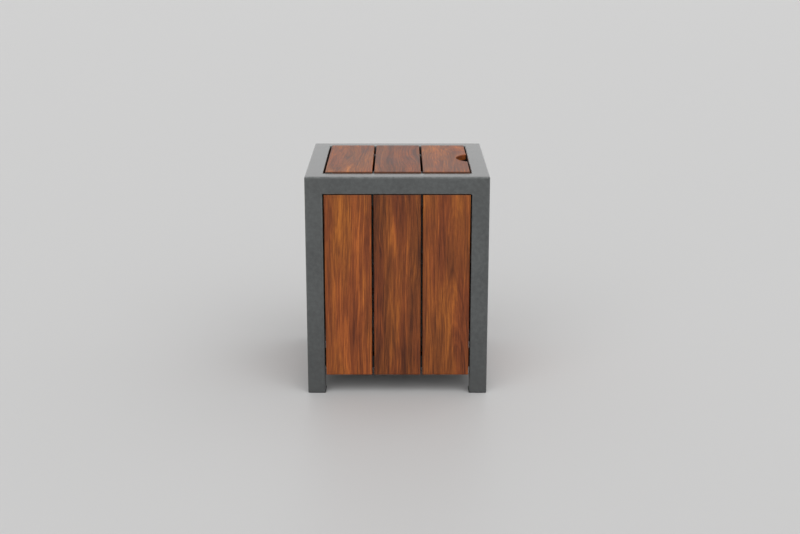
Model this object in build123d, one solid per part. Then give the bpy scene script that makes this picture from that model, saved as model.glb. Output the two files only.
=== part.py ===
from build123d import *
import os

# Square litter bin: a welded frame of square tube, panels of three hardwood boards on its four sides,
# an inset lid of three boards that turns on a pin at the front and rear of its left edge, and a
# galvanised liner that lifts out. Millimetres. The origin is on the floor under the middle of the
# bin, +X is to its right, -Y is its front and +Z is up.

# Overall sizes
width = 600.0
depth = 600.0
height = 744.0

# Frame tube, and the bars that carry the boards
tube = 60.0
tube_wall = 3.0
tube_radius = 5.0
slat_rail_height = 40.0
slat_rail_thickness = 5.0
slat_rail_top_gap = 4.0
slat_rail_lift = 20.0

# Feet
glide_flange = 4.0
glide_spigot = 14.0
glide_edge = 2.5
glide_inset = 0.3
glide_hole_r = 8.0
foot_plate_thickness = 8.0
foot_plate_gap = 1.0
anchor_hole_r = 6.0

# Side boards
boards_per_panel = 3
board_thickness = 20.0
board_gap = 7.0
board_side_gap = 2.0
board_top_gap = 2.0
board_recess = 3.0
board_edge = 2.5
panel_lift = 64.0

# Lid
lid_board_thickness = 20.0
lid_proud = 2.0
lid_gap_hinge = 4.5
lid_gap_free = 2.5
lid_gap_end = 3.5
lid_bar_width = 40.0
lid_bar_thickness = 6.0
lid_bar_inset = 86.5
lid_bar_end_gap = 30.5
notch_radius = 75.0
notch_depth = 36.0
notch_edge = 2.0

# Lid pivots
pivot_drop = 10.0
pivot_inset = 12.0
pin_r = 4.0
pin_clearance = 0.05
pin_reach = 13.0
bush_wall = 2.0
bush_flange_r = 9.0
bush_flange = 1.5
bush_lip = 3.0
bracket_width = 24.0
bracket_ear = 3.0
bracket_leg = 4.0
bracket_length = 58.0
bracket_cover = 3.0
bracket_fit = 0.2

# Lid rests on the right rail
rest_length = 40.0
rest_reach = 25.0
rest_wall = 3.0
rest_inset = 86.5
buffer_r = 8.0
buffer_height = 4.0
buffer_gap = 0.3

# Base
bearer_size = 30.0
bearer_wall = 3.0
tray_wall = 2.0
tray_margin = 8.0
tray_fold = 20.0
tray_height = 110.0
tray_drain_r = 5.0
tray_bolt_inset = 28.0
stop_length = 40.0
stop_height = 20.0
stop_wall = 2.0
stop_gap = 1.0

# Liner
liner_margin = 45.0
liner_wall = 1.5
liner_corner = 20.0
liner_headroom = 80.0
liner_standing_gap = 0.3
liner_rim = 7.0
liner_rim_lip = 12.0
liner_drain_r = 4.0

# Liner handles
wire_r = 4.0
wire_clearance = 0.06
handle_drop = 40.0
handle_offset = 12.0
handle_span = 116.0
handle_reach = 50.0
handle_shoulder = 8.0
handle_corner = 14.0
trunnion_length = 24.0
saddle_width = 13.0
saddle_height = 44.0
saddle_plate = 2.0
saddle_nose_r = 6.5
rivet_pitch = 30.0

# Fasteners
screw_r = 2.4
screw_head_r = 5.0
screw_head = 3.0
screw_length = 19.0
screw_fit = 0.05
screw_hole_r = 2.8
bolt_r = 3.0
bolt_head_r = 5.5
bolt_head = 3.0
bolt_fit = 0.3
nut_across = 10.0
nut_height = 5.0
rivet_r = 2.0
rivet_head_r = 3.5
rivet_head = 1.4

# Places that follow from the sizes above
opening_x = width - 2 * tube
opening_y = depth - 2 * tube
rail_under = height - tube
leg_x = (width - tube) / 2
leg_y = (depth - tube) / 2
board_back = board_recess + board_thickness
slat_rail_back = board_back + slat_rail_thickness
lid_top = height + lid_proud
lid_under = lid_top - lid_board_thickness
lid_left = -opening_x / 2 + lid_gap_hinge
lid_right = opening_x / 2 - lid_gap_free
lid_end_y = opening_y / 2 - lid_gap_end
pivot_x = lid_left + pivot_inset
pivot_z = height - pivot_drop
lid_bar_y = opening_y / 2 - lid_bar_inset
liner_x = opening_x - 2 * liner_margin
liner_y = opening_y - 2 * liner_margin
liner_bottom = tray_height + liner_standing_gap
liner_top = lid_under - lid_bar_thickness - liner_headroom
handle_x = liner_x / 2 + handle_offset
handle_z = liner_top - handle_drop

# Every side of the bin is made as its front and turned about Z to its place
side_turns = {"front": 0, "right": 90, "rear": 180, "left": -90}
corners = {
    "front_left": (-1, -1),
    "front_right": (1, -1),
    "rear_left": (-1, 1),
    "rear_right": (1, 1),
}
ends = {"front": -1, "rear": 1}


def block(x, y, z):
    """Box between two limits on each axis."""
    size = [abs(pair[1] - pair[0]) for pair in (x, y, z)]
    middle = [(pair[0] + pair[1]) / 2 for pair in (x, y, z)]
    return Pos(*middle) * Box(*size)


def rod(r, start, end, axis):
    """Cylinder on a line parallel to an axis, from one point to another."""
    turn = {"x": Rot(0, 90, 0), "y": Rot(-90, 0, 0), "z": Rot(0, 0, 0)}[axis]
    length = (Vector(*end) - Vector(*start)).length
    middle = (Vector(*start) + Vector(*end)) / 2
    return Pos(middle.X, middle.Y, middle.Z) * turn * Cylinder(r, length)


def side_sizes(side):
    """Width of a side, its opening between the legs, and its distance from the middle."""
    if side in ("front", "rear"):
        return width, opening_x, depth / 2
    return depth, opening_y, width / 2


def turned(side, shape):
    """A shape made for the front, at its own side."""
    return Rot(0, 0, side_turns[side]) * shape


# Frame


def tube_section():
    """Hollow square section with rounded edges, about the origin."""
    inner = tube - 2 * tube_wall
    outline = RectangleRounded(tube, tube, tube_radius)
    return outline - RectangleRounded(inner, inner, tube_radius - tube_wall)


def frame_envelope():
    """The outside of the whole frame, with its top and standing edges rounded."""
    body = block((-width / 2, width / 2), (-depth / 2, depth / 2), (glide_flange, height))
    edges = body.edges().filter_by(Axis.Z) + body.faces().sort_by(Axis.Z)[-1].edges()
    return fillet(edges, tube_radius)


def mitred_post(plane, outer, sign, span):
    """What a leg keeps of its corner, seen square to one side: below the 45 degree cut."""
    points = [
        (sign * outer, height),
        (sign * (outer - tube), height - tube),
        (sign * (outer - tube), 0),
        (sign * outer, 0),
    ]
    face = plane * make_face(Polyline(*points, close=True).edges())
    return extrude(face, span, both=True)


def leg(sx, sy):
    """Corner post, cut to meet two rails in a three-way mitre."""
    post = extrude(tube_section(), height - glide_flange)
    post = Pos(sx * leg_x, sy * leg_y, glide_flange) * post
    post = post & mitred_post(Plane.XZ, width / 2, sx, depth)
    post = post & mitred_post(Plane.YZ, depth / 2, sy, width)
    return post & frame_envelope()


def mitred_length(length):
    """Outline of a rail with both ends cut at 45 degrees, its long edge on the X axis."""
    points = [
        (-length / 2, 0),
        (length / 2, 0),
        (length / 2 - tube, tube),
        (tube - length / 2, tube),
    ]
    return make_face(Polyline(*points, close=True).edges())


def top_rail(side):
    """Top rail of one side, with a hole for the pivot bush if a pivot is in it."""
    length, _, out = side_sizes(side)
    along = Pos(0, tube / 2 - out, height - tube / 2) * Rot(0, 90, 0)
    rail = along * extrude(tube_section(), length / 2, both=True)
    plan = Pos(0, -out, rail_under) * extrude(mitred_length(length), tube)
    front = Pos(0, -out, height) * Rot(-90, 0, 0) * extrude(mitred_length(length), tube)
    rail = turned(side, rail & plan & front) & frame_envelope()
    if side in ends:
        mouth = ends[side] * opening_y / 2
        back = ends[side] * (opening_y / 2 + 2 * tube_wall)
        start = (pivot_x, mouth - ends[side] * tube_wall, pivot_z)
        rail = rail - rod(pin_r + pin_clearance + bush_wall, start, (pivot_x, back, pivot_z), "y")
    return rail


def slat_rail_levels():
    """Bottom of the upper and of the lower slat rail."""
    upper = rail_under - slat_rail_top_gap - slat_rail_height
    return {"upper": upper, "lower": panel_lift + slat_rail_lift}


def board_slots(span, start, gap, count):
    """Left and right edge of each board laid side by side."""
    each = (span - gap * (count - 1)) / count
    return [(start + n * (each + gap), start + n * (each + gap) + each) for n in range(count)]


def panel_slots(side):
    """Left and right edge of each board of a side."""
    opening = side_sizes(side)[1]
    start = board_side_gap - opening / 2
    return board_slots(opening - 2 * board_side_gap, start, board_gap, boards_per_panel)


def screw_columns(slot):
    """Places across a board of its two columns of screws."""
    quarter = (slot[1] - slot[0]) / 4
    return (slot[0] + quarter, slot[1] - quarter)


def screw_places(side, level):
    """Points on the inner face of a slat rail where screws pass into the boards."""
    inner = slat_rail_back - side_sizes(side)[2]
    z = slat_rail_levels()[level] + slat_rail_height / 2
    return [(x, inner, z) for slot in panel_slots(side) for x in screw_columns(slot)]


def slat_rail(side, level):
    """Flat bar welded between two legs behind the boards, drilled for their screws."""
    _, opening, out = side_sizes(side)
    low = slat_rail_levels()[level]
    bar = block(
        (-opening / 2, opening / 2), (board_back - out, slat_rail_back - out), (low, low + slat_rail_height)
    )
    for x, y, z in screw_places(side, level):
        bar = bar - rod(screw_hole_r, (x, y + 1, z), (x, y - slat_rail_thickness - 1, z), "y")
    return turned(side, bar)


def side_board(side, slot):
    """Upright board with eased edges and blind holes for the screws behind it."""
    out = side_sizes(side)[2]
    board = block(slot, (board_recess - out, board_back - out), (panel_lift, rail_under - board_top_gap))
    board = fillet(board.edges(), board_edge)
    for level in slat_rail_levels():
        for x, y, z in screw_places(side, level):
            if slot[0] < x < slot[1]:
                tip = y - screw_length - screw_fit
                board = board - rod(screw_r + screw_fit, (x, y, z), (x, tip, z), "y")
    return turned(side, board)


def dome_head(r, rise):
    """Low rounded head standing on the XY plane."""
    head = Cylinder(r, rise, align=(Align.CENTER, Align.CENTER, Align.MIN))
    return fillet(head.edges().sort_by(Axis.Z)[-1], rise * 0.6)


def wood_screw():
    """Screw with its head standing on the XY plane and its shank going down."""
    recess = Pos(0, 0, screw_head / 2) * extrude(RegularPolygon(screw_r * 0.8, 6), screw_head)
    shank = Pos(0, 0, -screw_length) * extrude(Circle(screw_r), screw_length)
    shank = chamfer(shank.edges().sort_by(Axis.Z)[0], screw_r / 2)
    return dome_head(screw_head_r, screw_head) - recess + shank


def board_screws():
    """All screws that hold the side boards, heads towards the middle of the bin."""
    screw = wood_screw()
    screws = []
    for side in side_turns:
        for level in slat_rail_levels():
            for place in screw_places(side, level):
                screws.append(turned(side, Pos(*place) * Rot(-90, 0, 0) * screw))
    return Compound(screws)


# Feet


def foot_plates():
    """Plate inside each leg above the glide, with the tapped hole for an anchor bolt."""
    inner = tube - 2 * tube_wall
    low = glide_flange + glide_spigot + foot_plate_gap
    outline = RectangleRounded(inner, inner, tube_radius - tube_wall) - Circle(anchor_hole_r)
    plate = extrude(outline, foot_plate_thickness)
    return Compound([Pos(sx * leg_x, sy * leg_y, low) * plate for sx, sy in corners.values()])


def foot_glide(sx, sy):
    """Plastic foot: a flange under the leg and a spigot up inside it."""
    size = tube - 2 * glide_inset
    inner = tube - 2 * tube_wall - 2 * glide_inset
    flange = extrude(RectangleRounded(size, size, tube_radius - glide_inset), glide_flange)
    flange = fillet(flange.faces().sort_by(Axis.Z)[0].edges(), glide_edge)
    spigot = extrude(RectangleRounded(inner, inner, tube_radius - tube_wall), glide_spigot)
    hole = rod(glide_hole_r, (0, 0, -1), (0, 0, glide_flange + glide_spigot + 1), "z")
    return Pos(sx * leg_x, sy * leg_y, 0) * (flange + Pos(0, 0, glide_flange) * spigot - hole)


# Base


def bearer_y():
    """Distance from the middle to the inner face of each bearer, between two columns of screws."""
    slot = panel_slots("left")[-1]
    return (slot[0] + slot[1] - bearer_size) / 2


def tray_bolt_places():
    """Where bolts hold the tray to the bearers."""
    x = opening_x / 2 - tray_bolt_inset
    y = bearer_y() + bearer_wall + (bearer_size - bearer_wall) / 2
    return [(sx * x, sy * y) for sx, sy in corners.values()]


def base_bearer(sy):
    """Angle bar from the left to the right lower slat rail."""
    top = tray_height - tray_wall
    half = width / 2 - slat_rail_back
    near = sy * bearer_y()
    web = block((-half, half), (near, near + sy * bearer_wall), (top - bearer_size, top))
    flange = block((-half, half), (near, near + sy * bearer_size), (top - bearer_wall, top))
    bearer = web + flange
    for x, y in tray_bolt_places():
        if y * sy > 0:
            bearer = bearer - rod(bolt_r + bolt_fit, (x, y, top - bearer_size), (x, y, top + 1), "z")
    return bearer


def base_tray():
    """Sheet that the liner stands on, folded down at the front and rear, with drain holes."""
    half_x = opening_x / 2 - tray_margin
    half_y = opening_y / 2 - tray_margin
    tray = block((-half_x, half_x), (-half_y, half_y), (tray_height - tray_wall, tray_height))
    for sy in ends.values():
        edge = sy * half_y
        tray = tray + block(
            (-half_x, half_x), (edge - sy * tray_wall, edge), (tray_height - tray_fold, tray_height)
        )
    drains = [(sx * liner_x / 4, sy * liner_y / 4, tray_drain_r) for sx, sy in corners.values()]
    bolts = [(x, y, bolt_r + bolt_fit) for x, y in tray_bolt_places()]
    for x, y, r in drains + bolts:
        tray = tray - rod(r, (x, y, tray_height - 2 * tray_wall), (x, y, tray_height + 1), "z")
    return tray


def tray_bolts():
    """Bolts and nuts that hold the tray to the bearers."""
    grip = tray_wall + bearer_wall
    shank = Pos(0, 0, -grip - nut_height) * extrude(Circle(bolt_r), grip + nut_height)
    recess = Pos(0, 0, bolt_head / 2) * extrude(RegularPolygon(bolt_r * 0.65, 6), bolt_head)
    bolt = dome_head(bolt_head_r, bolt_head) - recess + shank
    outline = RegularPolygon(nut_across / 2, 6, major_radius=False) - Circle(bolt_r)
    nut = Pos(0, 0, -grip - nut_height) * extrude(outline, nut_height)
    return Compound(
        [Pos(x, y, tray_height) * piece for x, y in tray_bolt_places() for piece in (bolt, nut)]
    )


def liner_stops():
    """Small angles on the tray that keep the liner in the middle."""
    x = liner_x / 2 + stop_gap
    y = liner_y / 2 + stop_gap
    floor = tray_height
    stops = []
    for sx, sy in corners.values():
        span_x = (sx * (x - stop_length), sx * (x + stop_wall))
        span_y = (sy * (y - stop_length), sy * (y + stop_wall))
        level = (floor, floor + stop_height)
        run_x = block(span_x, (sy * y, sy * (y + stop_wall)), level)
        run_y = block((sx * x, sx * (x + stop_wall)), span_y, level)
        stops.append(run_x + run_y)
    return Compound(stops)


# Lid


def lid_slots():
    """Left and right edge of each lid board."""
    return board_slots(lid_right - lid_left, lid_left, board_gap, boards_per_panel)


def lid_screw_columns(slot):
    """Places of the two columns of screws across a lid board, inside the ends of the bars."""
    left, right = lid_bar_span()
    low = max(slot[0], left)
    high = min(slot[1], right)
    quarter = (high - low) / 4
    return (low + quarter, high - quarter)


def lid_bar_span():
    """Left and right end of the bars under the lid."""
    return lid_left + lid_bar_end_gap, lid_right - lid_bar_end_gap


def lid_bar_screw_places():
    """Points on the underside of the lid bars where screws pass up into the boards."""
    z = lid_under - lid_bar_thickness
    return [
        (x, sy * lid_bar_y, z)
        for sy in ends.values()
        for slot in lid_slots()
        for x in lid_screw_columns(slot)
    ]


def bracket_screw_places():
    """Points on the underside of the pivot brackets where screws pass up into the left board."""
    inward = (bracket_length / 3, bracket_length - bracket_width / 2)
    z = lid_under - bracket_leg
    return [(pivot_x, sy * (lid_end_y - step), z) for sy in ends.values() for step in inward]


def lid_board(slot, is_left, is_right):
    """Board of the lid, with its screw holes, its pivot rebates or its finger notch."""
    board = block(slot, (-lid_end_y, lid_end_y), (lid_under, lid_top))
    board = fillet(board.edges(), board_edge)
    if is_left:
        for sy in ends.values():
            face = sy * lid_end_y
            rebate = block(
                (lid_left - 1, pivot_x + bracket_width / 2 + bracket_fit),
                (face + sy, face - sy * (bracket_ear + bracket_fit)),
                (lid_under - 1, lid_top - bracket_cover + bracket_fit),
            )
            board = board - rebate
    if is_right:
        notch = Pos(lid_right + notch_radius - notch_depth, 0, lid_under - 1) * extrude(
            Circle(notch_radius), lid_board_thickness + 2
        )
        board = board - notch
        rims = board.edges().filter_by(GeomType.CIRCLE)
        rims = rims.filter_by(lambda edge: abs(edge.radius - notch_radius) < 0.01)
        board = fillet(rims.sort_by(Axis.Z)[-1], notch_edge)
    for x, y, z in lid_bar_screw_places() + bracket_screw_places():
        if slot[0] < x < slot[1]:
            start = (x, y, lid_under - 1)
            board = board - rod(screw_r + screw_fit, start, (x, y, z + screw_length + screw_fit), "z")
    return board


def lid_bar(sy):
    """Flat bar across the underside of the lid boards."""
    level = (lid_under - lid_bar_thickness, lid_under)
    across = (sy * lid_bar_y - lid_bar_width / 2, sy * lid_bar_y + lid_bar_width / 2)
    bar = block(lid_bar_span(), across, level)
    bar = fillet(bar.edges().filter_by(Axis.Z), lid_bar_thickness)
    for x, y, z in lid_bar_screw_places():
        if y * sy > 0:
            bar = bar - rod(screw_hole_r, (x, y, z - 1), (x, y, lid_under + 1), "z")
    return bar


def lid_screws():
    """Screws up through the lid bars and the pivot brackets."""
    screw = Rot(180, 0, 0) * wood_screw()
    return Compound([Pos(*place) * screw for place in lid_bar_screw_places() + bracket_screw_places()])


def pivot_bracket(sy):
    """Angle under the end of the left board, whose ear stands in a rebate and holds the pin."""
    face = sy * lid_end_y
    side = (pivot_x - bracket_width / 2, pivot_x + bracket_width / 2)
    foot = (lid_under - bracket_leg, lid_under)
    leg_plate = block(side, (face, face - sy * bracket_length), foot)
    ear = block(side, (face, face - sy * bracket_ear), (lid_under - bracket_leg, lid_top - bracket_cover))
    ear = fillet(ear.edges().filter_by(Axis.Y).group_by(Axis.Z)[-1], bracket_ear)
    bracket = leg_plate + ear
    hole_end = (pivot_x, face - sy * (bracket_ear + 1), pivot_z)
    bracket = bracket - rod(pin_r, (pivot_x, face + sy, pivot_z), hole_end, "y")
    for x, y, z in bracket_screw_places():
        if y * sy > 0:
            bracket = bracket - rod(screw_hole_r, (x, y, z - 1), (x, y, lid_under + 1), "z")
    return bracket


def pivot_pin(sy):
    """Pin fixed in the ear of a bracket and reaching into the bush in the rail."""
    ear_back = lid_end_y - bracket_ear
    tip = (pivot_x, sy * (opening_y / 2 + pin_reach), pivot_z)
    pin = rod(pin_r, (pivot_x, sy * ear_back, pivot_z), tip, "y")
    tip_edge = pin.edges().sort_by(Axis.Y)[-1 if sy > 0 else 0]
    return chamfer(tip_edge, pin_r / 4)


def pivot_bush(sy):
    """Flanged plastic bush in the inner wall of the front or rear rail."""
    mouth = opening_y / 2
    bore = pin_r + pin_clearance
    start = (pivot_x, sy * (mouth - bush_flange), pivot_z)
    end = (pivot_x, sy * (mouth + tube_wall + bush_lip), pivot_z)
    sleeve = rod(bore + bush_wall, start, end, "y")
    flange = rod(bush_flange_r, start, (pivot_x, sy * mouth, pivot_z), "y")
    return sleeve + flange - rod(bore, start, end, "y")


def lid_rest(sy):
    """Short angle on the right rail that carries the free edge of the lid."""
    wall = opening_x / 2
    top = lid_under - buffer_gap - buffer_height
    middle = sy * (opening_y / 2 - rest_inset)
    run = (middle - rest_length / 2, middle + rest_length / 2)
    shelf = block((wall - rest_reach, wall), run, (top - rest_wall, top))
    back = block((wall - rest_wall, wall), run, (top - rest_reach, top))
    return shelf + back


def lid_buffers():
    """Rubber buffers on the two lid rests."""
    x = (opening_x / 2 - rest_reach + lid_right) / 2
    low = lid_under - buffer_gap - buffer_height
    pad = extrude(Circle(buffer_r), buffer_height)
    pad = fillet(pad.edges().sort_by(Axis.Z)[-1], buffer_height / 4)
    y = opening_y / 2 - rest_inset
    return Compound([Pos(x, sy * y, low) * pad for sy in ends.values()])


# Liner


def liner_block(grow, low, high, corner):
    """Rounded upright block about the liner's middle, larger or smaller than its body."""
    outline = RectangleRounded(liner_x + 2 * grow, liner_y + 2 * grow, corner + grow)
    return Pos(0, 0, low) * extrude(outline, high - low)


def liner():
    """Open sheet box with a folded rim and drain holes."""
    body = liner_block(0, liner_bottom, liner_top, liner_corner)
    rim = liner_block(liner_rim, liner_top - liner_rim_lip, liner_top, liner_corner)
    under_rim = liner_block(
        liner_rim - liner_wall, liner_top - liner_rim_lip - 1, liner_top - liner_wall, liner_corner
    )
    inside = liner_block(-liner_wall, liner_bottom + liner_wall, liner_top + 1, liner_corner)
    box = (rim - under_rim) + body - inside
    for sx, sy in corners.values():
        x = sx * liner_x / 3
        y = sy * liner_y / 3
        box = box - rod(liner_drain_r, (x, y, liner_bottom - 1), (x, y, liner_bottom + 2 * liner_wall), "z")
    for sx in (-1, 1):
        for y, z in rivet_places():
            hole_end = sx * (liner_x / 2 - 2 * liner_wall)
            box = box - rod(rivet_r, (sx * (liner_x / 2 + 1), y, z), (hole_end, y, z), "x")
    return box


def trunnion_start():
    """Distance from the middle of a handle to the inner end of its trunnions."""
    return handle_span / 2 + handle_shoulder


def saddle_y():
    """Distance from the middle of a handle to the middle of each saddle."""
    return trunnion_start() + (trunnion_length - handle_shoulder) / 2


def rivet_places():
    """Height and place across the liner of every rivet of one handle."""
    return [
        (sy * saddle_y(), handle_z + sz * rivet_pitch / 2)
        for sy in (-1, 1)
        for sz in (-1, 1)
    ]


def saddle():
    """Bearing of a handle's trunnion, lying along Y with its plate against the plane X = 0."""
    half = saddle_width / 2
    plate = block((0, saddle_plate), (-half, half), (-saddle_height / 2, saddle_height / 2))
    plate = fillet(plate.edges().filter_by(Axis.X), saddle_width / 4)
    web = block((0, handle_offset), (-half, half), (-saddle_nose_r, saddle_nose_r))
    start = (handle_offset, -half, 0)
    end = (handle_offset, half, 0)
    nose = rod(saddle_nose_r, start, end, "y")
    bearing = plate + web + nose - rod(wire_r + wire_clearance, start, end, "y")
    for sz in (-1, 1):
        z = sz * rivet_pitch / 2
        bearing = bearing - rod(rivet_r, (-1, 0, z), (saddle_plate + 1, 0, z), "x")
    return bearing


def liner_saddles():
    """The four saddles that the handles turn in."""
    placed = []
    for turn in (0, 180):
        for sy in (-1, 1):
            place = Pos(liner_x / 2, sy * saddle_y(), handle_z)
            placed.append(Rot(0, 0, turn) * place * saddle())
    return Compound(placed)


def liner_rivets():
    """Rivets through the saddles and the wall of the liner."""
    outer = Rot(0, 90, 0) * dome_head(rivet_head_r, rivet_head)
    inner = Rot(0, -90, 0) * dome_head(rivet_head_r, rivet_head)
    shank = rod(rivet_r, (-liner_wall, 0, 0), (saddle_plate, 0, 0), "x")
    rivet = Pos(saddle_plate, 0, 0) * outer + shank + Pos(-liner_wall, 0, 0) * inner
    return Compound(
        [
            Rot(0, 0, turn) * Pos(liner_x / 2, y, z) * rivet
            for turn in (0, 180)
            for y, z in rivet_places()
        ]
    )


def liner_handle(turn):
    """Wire handle hanging from its trunnions on one side of the liner."""
    half = handle_span / 2
    end = half + trunnion_length
    low = handle_z - handle_reach
    points = [
        (handle_x, -end, handle_z),
        (handle_x, -half, handle_z),
        (handle_x, -half, low),
        (handle_x, half, low),
        (handle_x, half, handle_z),
        (handle_x, end, handle_z),
    ]
    radii = [handle_shoulder, handle_corner, handle_corner, handle_shoulder]
    path = FilletPolyline(*points, radius=radii)
    section = Plane(origin=points[0], z_dir=(0, 1, 0)) * Circle(wire_r)
    return Rot(0, 0, turn) * sweep(section, path=path)


def all_parts():
    """Every sub-part of the bin by name."""
    parts = {
        "foot_plates": foot_plates(),
        "base_tray": base_tray(),
        "tray_bolts": tray_bolts(),
        "liner_stops": liner_stops(),
        "board_screws": board_screws(),
        "lid_screws": lid_screws(),
        "lid_buffers": lid_buffers(),
        "liner": liner(),
        "liner_saddles": liner_saddles(),
        "liner_rivets": liner_rivets(),
        "liner_handle_right": liner_handle(0),
        "liner_handle_left": liner_handle(180),
    }
    for name, (sx, sy) in corners.items():
        parts["leg_" + name] = leg(sx, sy)
        parts["foot_glide_" + name] = foot_glide(sx, sy)
    for side in side_turns:
        parts["top_rail_" + side] = top_rail(side)
        for level in slat_rail_levels():
            parts["slat_rail_" + side + "_" + level] = slat_rail(side, level)
        for number, slot in enumerate(panel_slots(side), 1):
            parts["board_" + side + "_" + str(number)] = side_board(side, slot)
    for number, slot in enumerate(lid_slots(), 1):
        is_left = number == 1
        is_right = number == boards_per_panel
        parts["lid_board_" + str(number)] = lid_board(slot, is_left, is_right)
    for end, sy in ends.items():
        parts["base_bearer_" + end] = base_bearer(sy)
        parts["lid_bar_" + end] = lid_bar(sy)
        parts["pivot_bracket_" + end] = pivot_bracket(sy)
        parts["pivot_pin_" + end] = pivot_pin(sy)
        parts["pivot_bush_" + end] = pivot_bush(sy)
        parts["lid_rest_" + end] = lid_rest(sy)
    return parts


os.makedirs("parts", exist_ok=True)
for name, shape in all_parts().items():
    export_step(shape, "parts/" + name + ".step")
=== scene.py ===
import math
import random

import bmesh
import bpy
from bpy.props import FloatProperty, FloatVectorProperty, PointerProperty
from mathutils import Matrix, Vector, noise


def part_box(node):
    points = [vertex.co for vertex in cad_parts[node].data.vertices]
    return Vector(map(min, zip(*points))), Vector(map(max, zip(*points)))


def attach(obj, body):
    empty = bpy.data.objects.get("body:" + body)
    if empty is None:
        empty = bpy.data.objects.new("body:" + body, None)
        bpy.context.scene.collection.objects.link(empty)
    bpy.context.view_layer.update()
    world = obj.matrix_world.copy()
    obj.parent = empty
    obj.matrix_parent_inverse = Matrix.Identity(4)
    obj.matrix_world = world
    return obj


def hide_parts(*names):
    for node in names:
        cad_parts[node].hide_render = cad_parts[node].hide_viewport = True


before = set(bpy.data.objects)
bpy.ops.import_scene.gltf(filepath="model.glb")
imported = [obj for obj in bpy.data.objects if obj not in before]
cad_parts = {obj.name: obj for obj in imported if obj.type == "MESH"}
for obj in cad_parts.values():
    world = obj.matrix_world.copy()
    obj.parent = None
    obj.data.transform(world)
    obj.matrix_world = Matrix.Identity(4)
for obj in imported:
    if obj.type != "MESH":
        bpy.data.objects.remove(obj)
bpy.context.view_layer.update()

bl_info = {
    "name": "Timber-clad litter bin",
    "version": (1, 0, 0),
    "blender": (4, 5, 0),
    "location": "View3D > Sidebar > Litter Bin",
    "description": "Finished pieces, finishes and studio of a square litter bin on its fixed frame",
    "category": "Object",
}

# Every side is the front turned about Z by so many degrees
SIDES = {"front": 0.0, "right": 90.0, "rear": 180.0, "left": -90.0}
LEVELS = ("upper", "lower")
ENDS = ("front", "rear")
CORNERS = ("front_left", "front_right", "rear_left", "rear_right")
NUMBERS = (1, 2, 3)
UP = Vector((0.0, 0.0, 1.0))

# What is nearer than this is in one place, in metres: corners, the middles of faces, and points at a cut
SAME = 1e-6
NEARLY = 1e-5
CUT = 1e-7

# A normal's part along an axis, where the face lies across that axis: exactly, and mostly
SQUARE = 0.999
MOSTLY = 0.9

# Turns between two faces, in radians: a fold, a corner of the frame, the notch's rim, a crease to shade
FOLD_TURN = 0.05
CORNER_TURN = 1.0
NOTCH_TURN = 0.5
CREASE_TURN = math.radians(50.0)

# Steps of the rounded shapes
EDGE_STEPS = 4
WELD_STEPS = 3
SEAT_STEPS = 24
NOTCH_STEPS = 28
BEAD_STEPS = 8
FOLD_STEPS = 3
LINER_CORNER_STEPS = 6
DRAIN_STEPS = 16
FLOOR_STEPS = 8

# Half the patch of wall round a bush seat, in seat radii, and how near the wall its faces lie, in tube radii
SEAT_PATCH = 1.5
SEAT_REACH = 1.2

# Cuts along a board's width, as shares of it, how fast its faces wander, and the depth of its end grain
BOARD_CUTS = (-0.25, 0.0, 0.25)
WANDER_RATE = 14
WANDER_SHIFT = (3.7, 1.9, 5.3)
END_DEPTH = 0.0003
FIRST_SIDE_SEED = 10
FIRST_LID_SEED = 40

# How far the tree's heart may lie from a board's middle, across, through and along it
HEART = ((-0.11, 0.11), (0.03, 0.13), (0.0, 30.0))

# Width of a weld bead at its ends and in its dips, as a share of its crests, and its fewest ripples
BEAD_END = 0.55
BEAD_DIP = 0.86
LEAST_RIPPLES = 6

# Where the liner's ribs start, as shares of its height, and the share of a rib that is its flank
RIB_STARTS = (0.24, 0.56)
RIB_FLANK = 0.25

# Distance of the drain holes from the liner's middle, as a share, and half their patch in hole radii
DRAIN_SPREAD = 2 / 3
DRAIN_PATCH = 2.5

# Share of the large faces in a piece's shading, in hundredths, and the camera's sensor in millimetres
FLAT_WEIGHT = 90
SENSOR_WIDTH = 36.0

# How light or dark each board is beside the others, in the order of the numbers
PANEL_TONES = {
    "front": (0.045, -0.105, -0.02),
    "right": (-0.03, 0.04, -0.01),
    "rear": (0.02, -0.02, 0.05),
    "left": (-0.04, 0.03, 0.0),
}
LID_TONES = (0.05, -0.09, 0.02)


# ---- Sizes and colours ----


def length(name, description, default):
    """Property for a length in metres."""
    return FloatProperty(name=name, description=description, default=default, min=0.0, unit="LENGTH")


def amount(name, description, default, high):
    """Property for a plain number from 0 to a limit."""
    return FloatProperty(name=name, description=description, default=default, min=0.0, max=high)


def angle(name, description, degrees):
    """Property for an angle, given in degrees."""
    return FloatProperty(
        name=name, description=description, default=math.radians(degrees), subtype="ANGLE", unit="ROTATION"
    )


def colour(name, description, default):
    """Property for a linear colour."""
    return FloatVectorProperty(
        name=name, description=description, default=default, min=0.0, max=1.0, size=3, subtype="COLOR"
    )


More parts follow.
